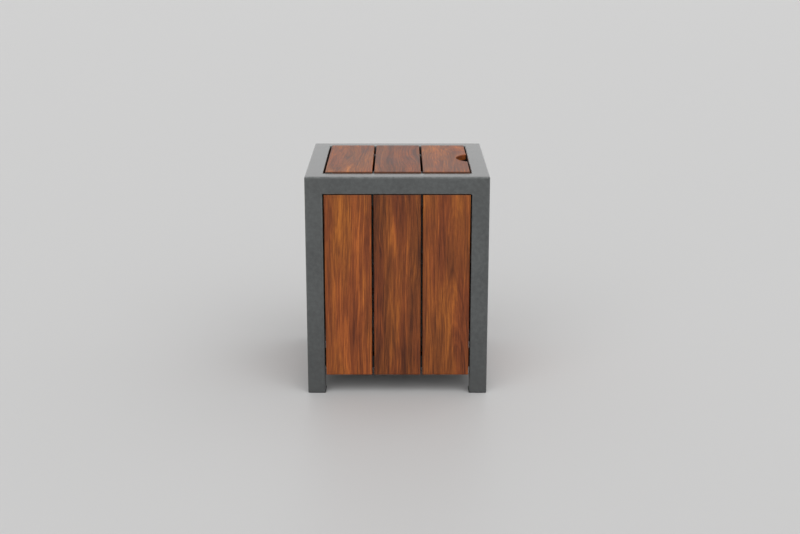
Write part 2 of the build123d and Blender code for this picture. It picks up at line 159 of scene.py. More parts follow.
class LitterBinSizes(bpy.types.PropertyGroup):
    """Sizes of the finished pieces that the frame does not give."""

    tube_radius: length("Tube radius", "Radius of the frame tube's edges", 0.005)
    tube_wall: length("Tube wall", "Wall of the frame tube at the feet", 0.003)
    foot_recess: length("Foot recess", "How far the tube is open above the floor", 0.040)
    bush_wall: length("Bush wall", "Wall of the pivot bushes, with the room round the pins", 0.0021)
    bush_depth: length("Bush depth", "Depth of the bush seats in the rails", 0.012)
    weld_radius: length("Weld radius", "Blend in the inner corners of the frame", 0.0025)
    board_edge: length("Board edge", "Radius of the boards' eased edges", 0.0025)
    board_step: length("Board step", "Length of the pieces that a board's surface is cut into", 0.045)
    board_waviness: length("Board waviness", "How far a board's faces wander from flat", 0.00012)
    notch_radius: length("Notch radius", "Radius of the finger notch in the lid", 0.075)
    notch_depth: length("Notch depth", "How far the finger notch reaches into the lid", 0.036)
    notch_edge: length("Notch edge", "Radius of the notch's eased upper edge", 0.002)
    rebate_fit: length("Rebate fit", "Room round the pivot brackets in the left board", 0.0002)
    bead_radius: length("Bead radius", "Half the width of a weld bead", 0.0022)
    bead_margin: length("Bead margin", "How far a weld bead stops short of the part's end", 0.0025)
    bead_ripple: length("Bead ripple", "Length of one ripple of a weld bead", 0.0022)
    sheet: length("Sheet", "Thickness of the liner's sheet", 0.0015)
    liner_corner: length("Liner corner", "Radius of the liner's upright corners", 0.020)
    liner_rim: length("Liner rim", "How far the rim stands out from the liner's walls", 0.007)
    liner_lip: length("Liner lip", "Height of the folded rim", 0.012)
    liner_fold: length("Liner fold", "Radius of the folds in the liner's sheet", 0.0025)
    rib_height: length("Rib height", "Height of the liner's swaged ribs", 0.022)
    rib_depth: length("Rib depth", "How far the swaged ribs stand out", 0.0035)
    drain_radius: length("Drain radius", "Radius of the liner's drain holes", 0.004)
    floor_reach: length("Floor reach", "Half the side of the floor", 60.0)


class LitterBinColours(bpy.types.PropertyGroup):
    """Colours of the finishes, linear."""

    wood_dark: colour("Wood, dark", "Darkest lines of the hardwood", (0.060, 0.0135, 0.0032))
    wood_middle: colour("Wood, middle", "Body of the hardwood", (0.192, 0.050, 0.0105))
    wood_light: colour("Wood, light", "Lightest streaks of the hardwood", (0.43, 0.130, 0.021))
    wood_end: colour("Wood, end grain", "End grain of the hardwood", (0.10, 0.036, 0.017))
    coating: colour("Frame coating", "Powder coat of the welded frame", (0.052, 0.0565, 0.0565))
    # Painted highlight: this colour lightens the frame's rounded edges, partly as worn edges and partly
    # standing in for the bright line of light along them
    coating_worn_and_highlight: colour("Frame coating, rubbed", "Powder coat where edges are rubbed", (0.130, 0.138, 0.136))
    inner_coating: colour("Inner coating", "Powder coat inside the bin", (0.028, 0.030, 0.031))
    zinc: colour("Zinc", "Galvanised sheet", (0.30, 0.31, 0.32))
    zinc_dull: colour("Zinc, dull", "White bloom on galvanised sheet", (0.21, 0.22, 0.225))
    lid_coating: colour("Lid bar coating", "Powder coat of the lid's bars and brackets", (0.075, 0.08, 0.083))
    plated: colour("Plated steel", "Zinc plated saddles and handles", (0.50, 0.51, 0.52))
    stainless: colour("Stainless steel", "Screws, bolts and pins", (0.60, 0.60, 0.59))
    aluminium: colour("Aluminium", "Rivets", (0.72, 0.73, 0.74))
    acetal: colour("Black acetal", "Pivot bushes", (0.030, 0.030, 0.032))
    glide: colour("Glide plastic", "Glides under the legs", (0.024, 0.024, 0.026))
    rubber: colour("Rubber", "Lid buffers", (0.014, 0.014, 0.014))
    floor: colour("Floor", "Studio floor", (0.560, 0.559, 0.558))
    backdrop: colour("Backdrop", "What is seen beyond the floor", (0.61, 0.61, 0.61))


class LitterBinStudio(bpy.types.PropertyGroup):
    """Camera and lamps."""

    camera_place: FloatVectorProperty(
        name="Camera place", description="Where the camera stands", default=(0.0091, -4.5257, 1.6268),
        size=3, subtype="XYZ", unit="LENGTH",
    )
    camera_pitch: angle("Camera pitch", "How far the camera looks down", 15.677)
    camera_lens: FloatProperty(
        name="Camera lens", description="Focal length in millimetres", default=60.21, min=1.0
    )
    ambient: amount("Ambient", "Light from all round", 0.43, 4.0)
    front_lamp: amount("Front lamp", "Strength of the soft lamp in front", 1.95, 50.0)
    side_lamp: amount("Side lamp", "Strength of the soft lamp on the right", 0.70, 50.0)
    rear_lamp: amount("Rear lamp", "Strength of the soft lamp behind", 0.34, 50.0)
    lamp_height: angle("Lamp height", "How high the lamps stand over the horizon", 40.0)
    lamp_softness: angle("Lamp softness", "How wide a lamp is, seen from the bin", 85.0)


def sizes():
    """The scene's own sizes."""
    return bpy.context.scene.litter_bin_sizes


def colours():
    """The scene's own colours."""
    return bpy.context.scene.litter_bin_colours


def unit(axis):
    """Direction of one of the three axes."""
    return Vector([float(axis == k) for k in range(3)])


def facing(side):
    """Directions across a side of the bin and into it."""
    spin = Matrix.Rotation(math.radians(SIDES[side]), 3, "Z")
    return spin @ unit(0), spin @ unit(1)


def put(name, data):
    """Object in the scene."""
    made = bpy.data.objects.new(name, data)
    bpy.context.scene.collection.objects.link(made)
    return made


# ---- Finishes ----


class Nodes:
    """Nodes of a material or a world, with short calls that make them."""

    def __init__(self, owner):
        owner.use_nodes = True
        self.tree = owner.node_tree
        self.tree.nodes.clear()

    def join(self, value, socket):
        """Feeds a socket from another one, or with a plain value."""
        if isinstance(value, bpy.types.NodeSocket):
            self.tree.links.new(value, socket)
        elif socket.type == "RGBA" and len(value) == 3:
            socket.default_value = (*value, 1.0)
        else:
            socket.default_value = value

    def node(self, kind, inputs=None, **settings):
        """New node with its settings, and its inputs by name or number."""
        made = self.tree.nodes.new(kind)
        for key, value in settings.items():
            setattr(made, key, value)
        for key, value in (inputs or {}).items():
            self.join(value, made.inputs[key])
        return made

    def sum(self, operation, *values):
        """One step of arithmetic."""
        return self.node("ShaderNodeMath", dict(enumerate(values)), operation=operation).outputs[0]


class Finish(Nodes):
    """One material."""

    def __init__(self, name):
        self.material = bpy.data.materials.new(name)
        super().__init__(self.material)
        self.shader = self.node("ShaderNodeBsdfPrincipled")
        self.node("ShaderNodeOutputMaterial", {"Surface": self.shader.outputs["BSDF"]})

    def place(self):
        """Where a point is on the bin."""
        return self.node("ShaderNodeTexCoord").outputs["Object"]

    def attribute(self, name, output="Vector"):
        """A named attribute of the piece's mesh."""
        return self.node("ShaderNodeAttribute", attribute_name=name).outputs[output]

    def scaled(self, place, scale):
        """A place stretched along each axis, or alike along all."""
        scale = scale if isinstance(scale, tuple) else (scale,) * 3
        return self.node("ShaderNodeMapping", {"Vector": place, "Scale": scale}).outputs["Vector"]

    def noise(self, place, scale, detail=2.0, roughness=0.5):
        """Noise from 0 to 1, with so many features to the metre."""
        inputs = {"Vector": self.scaled(place, scale), "Scale": 1.0, "Detail": detail, "Roughness": roughness}
        return self.node("ShaderNodeTexNoise", inputs).outputs["Fac"]

    def line_noise(self, value, detail, roughness):
        """Noise from 0 to 1 along one value."""
        inputs = {"W": value, "Scale": 1.0, "Detail": detail, "Roughness": roughness}
        return self.node("ShaderNodeTexNoise", inputs, noise_dimensions="1D").outputs["Fac"]

    def cells(self, place, scale):
        """Three random numbers for each Voronoi cell, so many to the metre."""
        inputs = {"Vector": self.scaled(place, scale), "Scale": 1.0}
        colour_of_cell = self.node("ShaderNodeTexVoronoi", inputs).outputs["Color"]
        return self.node("ShaderNodeSeparateColor", {0: colour_of_cell}).outputs

    def axes(self, place):
        """The three numbers of a place."""
        return self.node("ShaderNodeSeparateXYZ", {0: place}).outputs

    def added(self, *parts, start=0.0):
        """Sum of several values, each with its weight: (value, weight), ..."""
        total = 0.0
        for value, weight in parts:
            total = self.sum("MULTIPLY_ADD", value, weight, total)
        return self.sum("ADD", total, start) if start else total

    def spread(self, value, low, high, to_low=0.0, to_high=1.0):
        """A value between two limits, brought smoothly to two others."""
        inputs = {0: value, 1: low, 2: high, 3: to_low, 4: to_high}
        made = self.node("ShaderNodeMapRange", inputs, interpolation_type="SMOOTHSTEP")
        return made.outputs[0]

    def ramp(self, value, *stops):
        """Colours at given values: (value, colour), ..."""
        made = self.node("ShaderNodeValToRGB", {0: value})
        band = made.color_ramp
        while len(band.elements) < len(stops):
            band.elements.new(1.0)
        for element, (at, shade) in zip(band.elements, stops):
            element.position = at
            element.color = (*shade, 1.0)
        return made.outputs["Color"]

    def blend(self, share, first, second, mode="MIX"):
        """Two colours mixed by a share."""
        made = self.node("ShaderNodeMix", {0: share, 6: first, 7: second}, data_type="RGBA", blend_type=mode)
        return made.outputs[2]

    def bump(self, height, distance, strength, below=None):
        """Normal of a surface with a small relief, over an earlier one."""
        inputs = {"Height": height, "Distance": distance, "Strength": strength}
        if below is not None:
            inputs["Normal"] = below
        return self.node("ShaderNodeBump", inputs).outputs["Normal"]

    def finish(self, **inputs):
        """Feeds the shader, names with underscores for spaces, and gives the material."""
        for key, value in inputs.items():
            self.join(value, self.shader.inputs[key.replace("_", " ").title().replace("Ior", "IOR")])
        return self.material


def mixed(first, second, share):
    """Colour between two."""
    return tuple(a + (b - a) * share for a, b in zip(first, second))


def lit(shade, factor):
    """Colour made lighter or darker."""
    return tuple(min(1.0, part * factor) for part in shade)


def hardwood(name, wave, gloss):
    """Oiled hardwood. Across, through and along the board come from the mesh attribute called grain."""
    kit = Finish(name)
    dark = tuple(colours().wood_dark)
    middle = tuple(colours().wood_middle)
    light = tuple(colours().wood_light)
    sawn = tuple(colours().wood_end)
    grain = kit.attribute("grain")
    tone = kit.attribute("tone", "Fac")
    end = kit.attribute("end", "Fac")

    # The tree's growth rings: distance from its heart, which wanders along the board
    wander = kit.noise(grain, (4.0, 4.0, 1.2))
    ripple = kit.noise(grain, (20.0, 20.0, 6.0))
    parts = kit.axes(grain)
    across = kit.added((parts[0], 1.0), (wander, 0.050 * wave), (ripple, 0.005 * wave))
    through = kit.added((parts[1], 1.0), (wander, 0.035 * wave))
    squares = kit.sum("ADD", kit.sum("MULTIPLY", across, across), kit.sum("MULTIPLY", through, through))
    ring = kit.added((kit.sum("SQRT", squares), 1.0), (parts[2], 0.018))
    bands = kit.line_noise(kit.sum("MULTIPLY", ring, 130.0), 3.0, 0.6)
    lines = kit.line_noise(kit.sum("MULTIPLY", ring, 620.0), 2.0, 0.6)

    # Streaks of colour, fibres and pores run along the board and lean with its grain
    joined = kit.node("ShaderNodeCombineXYZ", {0: across, 1: through, 2: parts[2]}).outputs[0]
    streaks = kit.noise(joined, (230.0, 230.0, 6.0), 4.0, 0.65)
    broad = kit.noise(joined, (34.0, 34.0, 2.4))
    blotch = kit.noise(joined, (11.0, 11.0, 4.6))
    fibres = kit.noise(joined, (520.0, 520.0, 14.0), 4.0, 0.7)
    pores = kit.noise(joined, (1500.0, 1500.0, 85.0))

    # How light the wood is, from dark lines at 0 to light streaks at 1
    layers = [(streaks, 0.80), (broad, 0.60), (blotch, 0.45), (bands, 0.45), (lines, 0.30), (fibres, 0.85)]
    shade = kit.ramp(
        kit.added(*layers, (tone, 1.0), start=-1.230),
        (0.18, dark),
        (0.36, mixed(dark, middle, 0.55)),
        (0.50, middle),
        (0.64, mixed(middle, light, 0.38)),
        (0.80, light),
        (0.95, lit(light, 1.25)),
    )
    warmth = kit.noise(joined, (17.0, 17.0, 2.4))
    redder = kit.blend(1.0, shade, (0.96, 0.84, 0.90), "MULTIPLY")
    yellower = kit.blend(1.0, shade, (1.05, 1.08, 0.88), "MULTIPLY")
    shade = kit.blend(kit.spread(warmth, 0.35, 0.65), redder, yellower)
    pore_mask = kit.spread(pores, 0.62, 0.74)
    shade = kit.blend(kit.sum("MULTIPLY", pore_mask, 0.55), shade, lit(dark, 0.7))

    # End grain is darker and shows rings and open pores
    speckle = kit.noise(grain, 900.0, 2.0, 0.6)
    cut_end = kit.blend(kit.spread(bands, 0.35, 0.65), lit(sawn, 0.7), sawn)
    cut_end = kit.blend(kit.spread(speckle, 0.55, 0.75, 0.0, 0.7), cut_end, lit(dark, 0.8))
    shade = kit.blend(end, shade, cut_end)

    rough = kit.added((fibres, 0.16), (blotch, 0.10), (pore_mask, 0.12), (end, 0.15), start=0.33)
    relief = kit.bump(kit.added((streaks, 0.5), (bands, 0.5)), 0.0006, 0.55)
    relief = kit.bump(kit.added((fibres, 1.0), (pore_mask, -0.8), (lines, 0.4)), 0.00022, 0.8, relief)
    return kit.finish(base_color=shade, roughness=rough, normal=relief, specular_ior_level=gloss)


def powder_coat(name, shade, rubbed_and_highlight, grit, gloss=0.0):
    """Fine textured powder coat. Where an edge colour is given, it lightens the rounded edges that the
    attribute edge marks, partly as worn edges and partly as a painted highlight, and the coat gets painted
    shade, darker towards the floor.
    """
    kit = Finish(name)
    place = kit.place()
    cloud = kit.noise(place, 9.0, 3.0, 0.6)
    mottle = kit.noise(place, 70.0, 3.0, 0.6)
    speck = kit.noise(place, 900.0, 2.0, 0.6)
    dust = kit.noise(place, (26.0, 26.0, 5.0), 3.0, 0.65)
    patches = kit.added((cloud, 0.30), (mottle, 0.50), (speck, 0.20))
    base = kit.ramp(patches, (0.38, lit(shade, 0.74)), (0.50, shade), (0.62, lit(shade, 1.30)))
    base = kit.blend(kit.spread(dust, 0.56, 0.78, 0.0, 0.05), base, mixed(shade, (0.35, 0.35, 0.33), 0.5))
    if rubbed_and_highlight is not None:
        # Painted shade: the coat darkens towards the floor, standing in for the shaded floor that the legs
        # reflect near their feet
        painted_floor_shade = kit.added((kit.axes(place)[2], 1.0), (dust, 0.12))
        base = kit.blend(kit.spread(painted_floor_shade, 0.04, 0.42, 0.45, 0.0), base, lit(shade, 0.45))
        # Rounded edges lightened, partly as worn edges and partly as a painted highlight along them
        scuff = kit.noise(place, 60.0, 4.0, 0.7)
        rub_and_highlight = kit.sum("MULTIPLY", kit.attribute("edge", "Fac"), kit.spread(scuff, 0.35, 0.62))
        base = kit.blend(kit.sum("MULTIPLY", rub_and_highlight, 0.55), base, rubbed_and_highlight)
    rough = kit.added((mottle, 0.16), (cloud, 0.14), (dust, 0.10), start=0.26)
    relief = kit.bump(kit.noise(place, 260.0), 0.0004, 0.30)
    relief = kit.bump(kit.noise(place, 1100.0, 2.0, 0.6), 0.0001 * grit, 0.55, relief)
    kit.finish(coat_weight=gloss, coat_roughness=0.22, coat_normal=relief)
    return kit.finish(base_color=base, roughness=rough, normal=relief, specular_ior_level=0.2)


def galvanised_sheet(name, bright, dull):
    """Hot dip galvanised sheet: spangles, white bloom and run marks."""
    kit = Finish(name)
    place = kit.place()
    bent = kit.noise(place, 40.0)
    flake = kit.cells(place, 70.0)
    bloom = kit.noise(place, (7.0, 7.0, 4.0), 4.0, 0.65)
    runs = kit.noise(place, (55.0, 55.0, 2.5), 3.0, 0.6)
    shade = kit.ramp(flake[0], (0.0, lit(bright, 0.72)), (0.5, lit(bright, 0.9)), (1.0, bright))
    shade = kit.blend(kit.spread(bloom, 0.50, 0.72, 0.0, 0.8), shade, dull)
    shade = kit.blend(kit.spread(runs, 0.58, 0.75, 0.0, 0.4), shade, lit(dull, 0.8))
    rough = kit.added((flake[1], 0.14), (bloom, 0.20), (runs, 0.12), (bent, 0.08), start=0.50)
    relief = kit.bump(kit.added((flake[2], 0.5), (bent, 0.6)), 0.0003, 0.35)
    relief = kit.bump(kit.noise(place, 500.0), 0.00008, 0.5, relief)
    return kit.finish(base_color=shade, roughness=rough, normal=relief, metallic=1.0)


def bare_metal(name, shade, rough_low, drawn, tarnish):
    """Plated or plain metal with drawn lines, cloudy tarnish and fine scratches."""
    kit = Finish(name)
    place = kit.place()
    cloud = kit.noise(place, 35.0, 4.0, 0.65)
    spots = kit.noise(place, 160.0, 3.0, 0.6)
    lines = kit.noise(place, drawn, 3.0, 0.6)
    patches = kit.added((cloud, 0.4), (spots, 0.25), (lines, 0.35))
    base = kit.ramp(patches, (0.30, lit(shade, 0.74)), (0.52, shade), (0.72, lit(shade, 1.12)))
    base = kit.blend(kit.spread(cloud, 0.52, 0.75, 0.0, tarnish), base, lit(shade, 0.5))
    rough = kit.added((cloud, 0.18), (lines, 0.16), (spots, 0.10), start=rough_low)
    relief = kit.bump(kit.added((lines, 0.7), (spots, 0.5)), 0.00008, 0.6)
    return kit.finish(base_color=base, roughness=rough, normal=relief, metallic=1.0)


def moulded(name, shade, rough_low, grain_scale):
    """Moulded plastic or rubber with a fine matt texture and scuffs."""
    kit = Finish(name)
    place = kit.place()
    cloud = kit.noise(place, 45.0, 3.0, 0.6)
    grit = kit.noise(place, grain_scale, 3.0, 0.6)
    scuff = kit.noise(place, (120.0, 120.0, 600.0), 3.0, 0.7)
    patches = kit.added((cloud, 0.6), (grit, 0.4))
    base = kit.ramp(patches, (0.32, lit(shade, 0.8)), (0.5, shade), (0.7, lit(shade, 1.25)))
    base = kit.blend(kit.spread(scuff, 0.60, 0.78, 0.0, 0.35), base, mixed(shade, (0.20, 0.20, 0.20), 0.3))
    rough = kit.added((cloud, 0.15), (grit, 0.15), (scuff, 0.10), start=rough_low)
    relief = kit.bump(grit, 0.00012, 0.6)
    return kit.finish(base_color=base, roughness=rough, normal=relief, specular_ior_level=0.5)


FINISHES = {}


def finish(name):
    """The material of one of the record's finishes, made the first time it is asked for."""
    shades = colours()
    recipes = {
        "frame_coating": (powder_coat, "frame coating", shades.coating, shades.coating_worn_and_highlight, 1.0, 1.0),
        "inner_coating": (powder_coat, "inner coating", shades.inner_coating, None, 1.6),
        "side_boards": (hardwood, "side boards", 1.0, 0.25),
        "lid_boards": (hardwood, "lid boards", 2.4, 0.36),
        "lid_steel": (powder_coat, "lid bar coating", shades.lid_coating, None, 1.4),
        "pin_steel": (bare_metal, "pin steel", shades.stainless, 0.10, (1200.0, 60.0, 1200.0), 0.2),
        "screw_steel": (bare_metal, "screw steel", shades.stainless, 0.12, 900.0, 0.3),
        "handle_steel": (bare_metal, "handle wire", shades.plated, 0.20, (700.0, 60.0, 700.0), 0.4),
        "saddle_steel": (bare_metal, "saddle steel", shades.plated, 0.25, (500.0, 500.0, 60.0), 0.5),
        "rivet_aluminium": (bare_metal, "rivet aluminium", shades.aluminium, 0.20, 800.0, 0.2),
        "galvanised": (galvanised_sheet, "galvanised sheet", shades.zinc, shades.zinc_dull),
        "bush_plastic": (moulded, "black acetal", shades.acetal, 0.30, 1500.0),
        "glide_plastic": (moulded, "glide plastic", shades.glide, 0.36, 900.0),
        "buffer_rubber": (moulded, "buffer rubber", shades.rubber, 0.55, 700.0),
    }
    if name not in FINISHES:
        maker, *details = recipes[name]
        FINISHES[name] = maker(*details)
    return FINISHES[name]


# ---- Mesh work ----


def block(low, high):
    """Mesh of a box between two corners."""
    bm = bmesh.new()
    bmesh.ops.create_cube(bm, size=1.0)
    bmesh.ops.scale(bm, vec=high - low, verts=bm.verts[:])
    bmesh.ops.translate(bm, vec=(low + high) / 2, verts=bm.verts[:])
    return bm


def open_edges(bm):
    """Edges that have a face on one side only."""
    return [e for e in bm.edges if e.is_boundary]


def loop_of(ring):
    """Edges of a ring of corners, each once."""
    return list(dict.fromkeys(e for v in ring for e in v.link_edges))


def face_outwards(bm):
    """Turns all faces of a mesh outwards."""
    bmesh.ops.recalc_face_normals(bm, faces=bm.faces[:])


def points_of(grown):
    """The corners among new parts of a mesh."""
    return [g for g in grown if isinstance(g, bmesh.types.BMVert)]


def slice_at(bm, point, normal):
    """Cuts all faces along a plane and keeps both sides."""
    geom = bm.verts[:] + bm.edges[:] + bm.faces[:]
    bmesh.ops.bisect_plane(bm, geom=geom, dist=CUT, plane_co=point, plane_no=normal)


def rounded(bm, parts, radius, steps, affect="EDGES", clamp=True):
    """Rounds some edges or corners."""
    bmesh.ops.bevel(
        bm,
        geom=parts,
        offset=radius,
        offset_type="OFFSET",
        segments=steps,
        profile=0.5,
        affect=affect,
        clamp_overlap=clamp,
        material=-1,
    )


def on_outer_edge(edge, low, high):
    """True if an edge lies along one of the twelve edges of a box."""
    at_limit = 0
    for axis in range(3):
        near = [min(abs(v.co[axis] - low[axis]), abs(v.co[axis] - high[axis])) < SAME for v in edge.verts]
        level = abs(edge.verts[0].co[axis] - edge.verts[1].co[axis]) < SAME
        at_limit += all(near) and level
    return at_limit >= 2


def wander_faces(bm, reach, seed):
    """Moves a mesh's points a little along their normals, slowly changing from place to place."""
    bm.normal_update()
    shift = Vector([seed * step for step in WANDER_SHIFT])
    for v in bm.verts:
        v.co += v.normal * noise.noise(v.co * WANDER_RATE + shift) * reach


def mesh_of(bm, name, material):
    """Mesh with one material, made from a bmesh."""
    mesh = bpy.data.meshes.new(name)
    bm.to_mesh(mesh)
    bm.free()
    mesh.materials.append(material)
    return mesh


def piece(bm, name, body, slot, stands_for=()):
    """Object with its finish, riding on a body in place of CAD parts."""
    face_outwards(bm)
    mesh = mesh_of(bm, name, finish(slot))
    mesh.shade_smooth()
    mesh.set_sharp_from_angle(angle=CREASE_TURN)
    made = put(name, mesh)
    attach(made, body)
    if stands_for:
        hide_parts(*stands_for)
    return made


def even_normals(made):
    """Shades large flat faces flat and leaves the rounding to the edges between them."""
    modifier = made.modifiers.new("Even normals", "WEIGHTED_NORMAL")
    modifier.weight = FLAT_WEIGHT
    modifier.keep_sharp = True


def coat(names, slot):
    """Gives CAD parts that are shown as they are their finish."""
    for name in names:
        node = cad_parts[name]
        if node.material_slots:
            for place in node.material_slots:
                place.material = finish(slot)
        else:
            node.data.materials.append(finish(slot))


# ---- Welded frame ----


def frame_limits():
    """Outer and inner half widths, underside of the rails, and the lowest and highest level of the frame."""
    leg_low, leg_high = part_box("leg_front_left")
    rail_low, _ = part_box("top_rail_front")
    outer = Vector((-leg_low.x, -leg_low.y))
    tube = leg_high.z - rail_low.z
    return outer, outer - Vector((tube, tube)), rail_low.z, leg_low.z, leg_high.z


def frame_plan(outer, inner, level):
    """Ring of eight faces, four corners and four rails, at one level."""
    # The grid's points lie at 1/3 and 1 each way
    bm = bmesh.new()
    bmesh.ops.create_grid(bm, x_segments=3, y_segments=3, size=1.0)
    for v in bm.verts:
        for axis in (0, 1):
            reach = outer[axis] if abs(v.co[axis]) > 0.5 else inner[axis]
            v.co[axis] = math.copysign(reach, v.co[axis])
        v.co.z = level
    middle = [f for f in bm.faces if f.calc_center_median().xy.length < NEARLY]
    bmesh.ops.delete(bm, geom=middle, context="FACES")
    return bm


def drawn_out(bm, faces, travel, keep=False):
    """Extrudes a patch of faces and gives the faces at its end."""
    grown = bmesh.ops.extrude_face_region(bm, geom=faces, use_keep_orig=keep)["geom"]
    ends = [g for g in grown if isinstance(g, bmesh.types.BMFace)]
    bmesh.ops.translate(bm, vec=travel, verts=points_of(grown))
    if not keep:
        bmesh.ops.delete(bm, geom=faces, context="FACES")
    return ends


def open_foot(bm, face, wall, depth):
    """Turns the closed end of a leg into a tube's open end."""
    bmesh.ops.inset_individual(bm, faces=[face], thickness=wall, use_even_offset=True)
    grown = bmesh.ops.extrude_discrete_faces(bm, faces=[face])["faces"]
    bmesh.ops.translate(bm, vec=UP * depth, verts=grown[0].verts[:])


def bush_seat(bm, end, face_y, radius):
    """Round blind hole in a rail's inner face, where the bush of a pivot sits."""
    bush_low, bush_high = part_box("pivot_bush_" + end)
    middle = (bush_low + bush_high) / 2
    rounding = sizes().tube_radius
    reach = radius * SEAT_PATCH
    for x in (middle.x - reach, middle.x + reach):
        slice_at(bm, Vector((x, 0, 0)), unit(0))
    slice_at(bm, Vector((0, 0, middle.z - reach)), UP)

    def is_near(face):
        centre = face.calc_center_median()
        at_wall = abs(centre.y - face_y) < rounding * SEAT_REACH and abs(face.normal.z) < MOSTLY
        return at_wall and abs(centre.x - middle.x) < reach and abs(centre.z - middle.z) < reach

    bmesh.ops.delete(bm, geom=[f for f in bm.faces if is_near(f)], context="FACES")
    rim = open_edges(bm)
    place = Matrix.Translation((middle.x, face_y, middle.z)) @ Matrix.Rotation(math.radians(90.0), 4, "X")
    ring = bmesh.ops.create_circle(bm, segments=SEAT_STEPS, radius=radius, matrix=place)["verts"]
    loop = loop_of(ring)
    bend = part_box("top_rail_" + end)[1].z - rounding
    for v in ring:
        over = max(0.0, v.co.z - bend)
        v.co.y += math.copysign(rounding - math.sqrt(rounding**2 - over**2), face_y)
    bmesh.ops.bridge_loops(bm, edges=rim + loop)
    for v in points_of(bmesh.ops.extrude_edge_only(bm, edges=loop)["geom"]):
        v.co.y = face_y + math.copysign(sizes().bush_depth, face_y)
    bmesh.ops.holes_fill(bm, edges=open_edges(bm), sides=0)


def mark_edges(mesh):
    """Attribute called edge: 1 on rounded edges, 0 on flat faces."""
    attribute = mesh.attributes.new("edge", "FLOAT", "POINT")
    values = [1.0] * len(mesh.vertices)
    for polygon in mesh.polygons:
        if max(abs(part) for part in polygon.normal) > SQUARE:
            for index in polygon.vertices:
                values[index] = 0.0
    attribute.data.foreach_set("value", values)


class LITTERBIN_OT_frame(bpy.types.Operator):
    """Welded frame of square tube in one skin: four legs, four top rails, open feet and bush seats"""

    bl_idname = "litter_bin.frame"
    bl_label = "Welded Frame"

    def execute(self, context):
        outer, inner, underside, foot, top = frame_limits()
        bm = frame_plan(outer, inner, top)
        drawn_out(bm, bm.faces[:], UP * (underside - top), keep=True)
        face_outwards(bm)

        def is_under_corner(face):
            middle = face.calc_center_median()
            return face.normal.z < -MOSTLY and all(abs(middle[k]) > inner[k] for k in (0, 1))

        for face in [f for f in bm.faces if is_under_corner(f)]:
            drawn_out(bm, [face], UP * (foot - underside))
        face_outwards(bm)
        bm.normal_update()

        def turn_at(edge):
            return edge.calc_face_angle_signed(0.0) if len(edge.link_faces) == 2 else 0.0

        def is_standing(edge):
            return max(v.co.z for v in edge.verts) > foot + NEARLY

        proud = [e for e in bm.edges if turn_at(e) > CORNER_TURN and is_standing(e)]
        rounded(bm, proud, sizes().tube_radius, EDGE_STEPS)
        bm.normal_update()
        hollow = [e for e in bm.edges if turn_at(e) < -CORNER_TURN]
        rounded(bm, hollow, sizes().weld_radius, WELD_STEPS)
        bm.normal_update()

        def is_foot(face):
            return face.normal.z < -MOSTLY and abs(face.calc_center_median().z - foot) < NEARLY

        for face in [f for f in bm.faces if is_foot(f)]:
            open_foot(bm, face, sizes().tube_wall, sizes().foot_recess)
        for end in ENDS:
            pin_low, pin_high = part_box("pivot_pin_" + end)
            face_y = math.copysign(inner.y, pin_low.y)
            bush_seat(bm, end, face_y, (pin_high.z - pin_low.z) / 2 + sizes().bush_wall)
        names = ["leg_" + corner for corner in CORNERS] + ["top_rail_" + side for side in SIDES]
        made = piece(bm, "welded_frame", "frame", "frame_coating", names)
        mark_edges(made.data)
        even_normals(made)
        return {"FINISHED"}


# ---- Boards ----


def mark_grain(mesh, low, high, directions, seed, tone):
    """Attributes of a board: its place in the tree, how light it is, and where its end grain is."""
    across, through, along = directions
    dice = random.Random(seed)
    shift = Vector([dice.uniform(*reach) for reach in HEART])
    middle = (low + high) / 2
    half = abs((high - low).dot(along)) / 2
    places = []
    ends = []
    for v in mesh.vertices:
        away = v.co - middle
        spot = Vector((away.dot(across), away.dot(through), away.dot(along)))
        places.extend(spot + shift)
        ends.append(1.0 if abs(spot.z) > half - END_DEPTH else 0.0)
    mesh.attributes.new("grain", "FLOAT_VECTOR", "POINT").data.foreach_set("vector", places)
    mesh.attributes.new("end", "FLOAT", "POINT").data.foreach_set("value", ends)
    mesh.attributes.new("tone", "FLOAT", "POINT").data.foreach_set("value", [tone] * len(ends))


def slice_board(bm, low, high, directions, clear=None):
    """Cuts a board's faces into short lengths, and into strips if no stretch has to stay clear of cuts."""
    across, _, along = directions
    middle = (low + high) / 2
    span = abs((high - low).dot(along))
    count = round(span / sizes().board_step)
    for step in range(1, count):
        at = (step / count - 0.5) * span
        if clear is None or abs(at) > clear:
            slice_at(bm, middle + along * at, along)
    if clear is None:
        width = abs((high - low).dot(across))
        for share in BOARD_CUTS:
            slice_at(bm, middle + across * (share * width), across)


def finish_board(bm, name, body, slot, low, high, directions, seed, tone):
    """Eases a board's edges, lets its faces wander and marks its grain."""
    face_outwards(bm)
    edges = [e for e in bm.edges if on_outer_edge(e, low, high)]
    rounded(bm, edges, sizes().board_edge, EDGE_STEPS, clamp=False)
    wander_faces(bm, sizes().board_waviness, seed)
    made = piece(bm, name + "_hardwood", body, slot, [name])
    mark_grain(made.data, low, high, directions, seed, tone)
    even_normals(made)


class LITTERBIN_OT_side_boards(bpy.types.Operator):
    """Twelve upright hardwood boards, three on each side, with eased edges"""

    bl_idname = "litter_bin.side_boards"
    bl_label = "Side Boards"

    def execute(self, context):
        for index, side in enumerate(SIDES):
            directions = (*facing(side), UP)
            for number in NUMBERS:
                name = "board_" + side + "_" + str(number)
                low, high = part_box(name)
                bm = block(low, high)
                slice_board(bm, low, high, directions)
                tone = PANEL_TONES[side][number - 1]
                seed = FIRST_SIDE_SEED + index * len(NUMBERS) + number
                finish_board(bm, name, "frame", "side_boards", low, high, directions, seed, tone)
        return {"FINISHED"}


